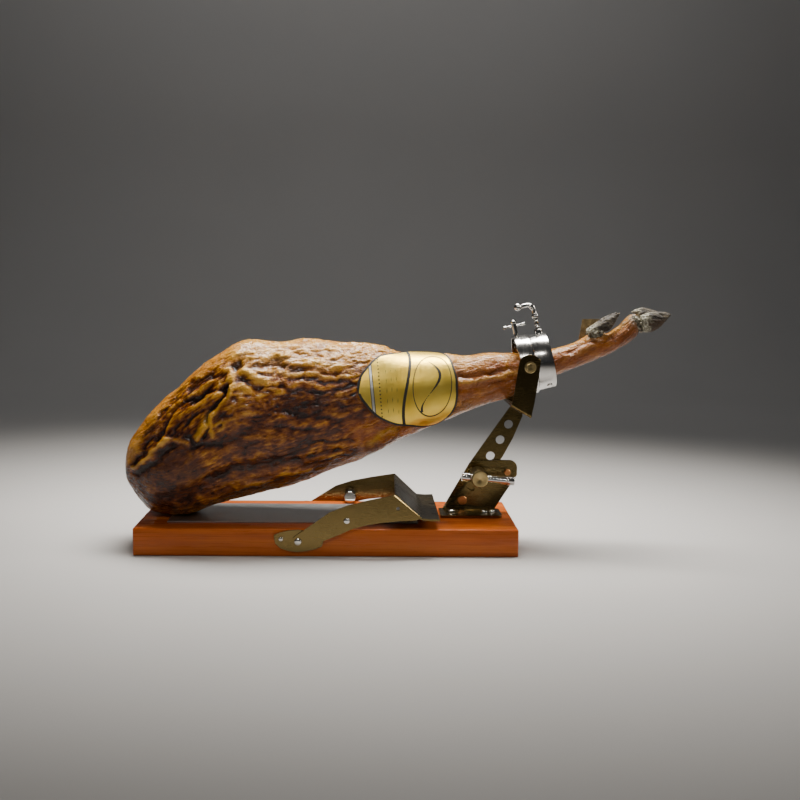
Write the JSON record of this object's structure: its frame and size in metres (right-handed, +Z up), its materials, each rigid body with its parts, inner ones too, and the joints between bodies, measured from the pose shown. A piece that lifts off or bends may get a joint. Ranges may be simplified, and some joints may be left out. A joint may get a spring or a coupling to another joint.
{
  "type": "cured ham on a carving stand",
  "caption": "Whole cured ham, hoof on, with a gold foil label, clamped by the shank in a tilting ring on a wood and steel carving stand.",
  "frame": {"origin": "middle of the board's underside, on the surface that the stand rests on", "axes": "+X from the ham's butt to its hoof, +Z up, -Y towards the label side"},
  "size_m": [0.7635, 0.1976, 0.3423],
  "materials": {
    "wood": "varnished, reddish orange",
    "steel": "satin sheet steel",
    "polished": "polished turned steel",
    "ham": "dry cured skin, fat and meat, slightly greasy",
    "horn": "grey horn",
    "foil": "gold foil paper",
    "card": "stiff card"
  },
  "bodies": {
    "stand": {"board": "wood", "tray_plate": "steel", "bracket": "steel", "bracket_screw_1": "polished", "bracket_screw_2": "polished", "bracket_screw_3": "polished", "arm_pivot_bolt": "steel", "stop_bolt": "steel", "pivot_plate_front": "steel", "pivot_plate_rear": "steel", "pivot_plate_screw_front": "polished", "pivot_plate_screw_rear": "polished", "support_bolt_front": "polished", "support_bolt_rear": "polished"},
    "support": {"support": "steel", "support_stop_front": "polished", "support_stop_rear": "polished", "support_stop_screw_front": "polished", "support_stop_screw_rear": "polished"},
    "arm": {"arm": "steel", "clamp_bolt": "steel", "yoke": "steel", "head_bolt_front": "steel", "head_bolt_rear": "steel"},
    "clamp_handle": {"clamp_boss": "polished", "clamp_bar": "polished"},
    "head": {"ring_fixed": "polished", "ring_turning": "polished", "lever_nut": "polished", "ring_set_screw": "steel", "ham": "ham", "hoof_near": "horn", "hoof_far": "horn", "dewclaw_near": "horn", "dewclaw_far": "horn", "label": "foil", "tag": "card"},
    "ring_screw": {"ring_screw": "polished", "ring_screw_bar": "polished"},
    "lever_screw": {"lever_screw": "polished"}
  },
  "joints": [
    {"name": "arm_tilt", "type": "hinge", "parent": "stand", "child": "arm", "pos_m": [0.1925, 0, 0.0547], "axis": [0, 1, 0], "range_deg": [0, 8]},
    {"name": "head_tilt", "type": "hinge", "parent": "arm", "child": "head", "pos_m": [0.2755, 0, 0.2558], "axis": [0, 1, 0], "range_deg": [0, 12]},
    {"name": "support_fold", "type": "hinge", "parent": "stand", "child": "support", "pos_m": [-0.0384, 0, 0.0219], "axis": [0, -1, 0], "range_deg": [0, 15]},
    {"name": "clamp_turn", "type": "hinge", "parent": "arm", "child": "clamp_handle", "pos_m": [0.2134, 0, 0.093], "axis": [0, -1, 0], "range_deg": [0, 90]},
    {"name": "ring_screw_turn", "type": "hinge", "parent": "head", "child": "ring_screw", "pos_m": [0.2716, 0, 0.2549], "axis": [-0.225, 0, 0.9744], "continuous": true},
    {"name": "lever_screw_turn", "type": "hinge", "parent": "head", "child": "lever_screw", "pos_m": [0.30229, 0, 0.26199], "axis": [-0.225, 0, 0.9744], "continuous": true}
  ]
}
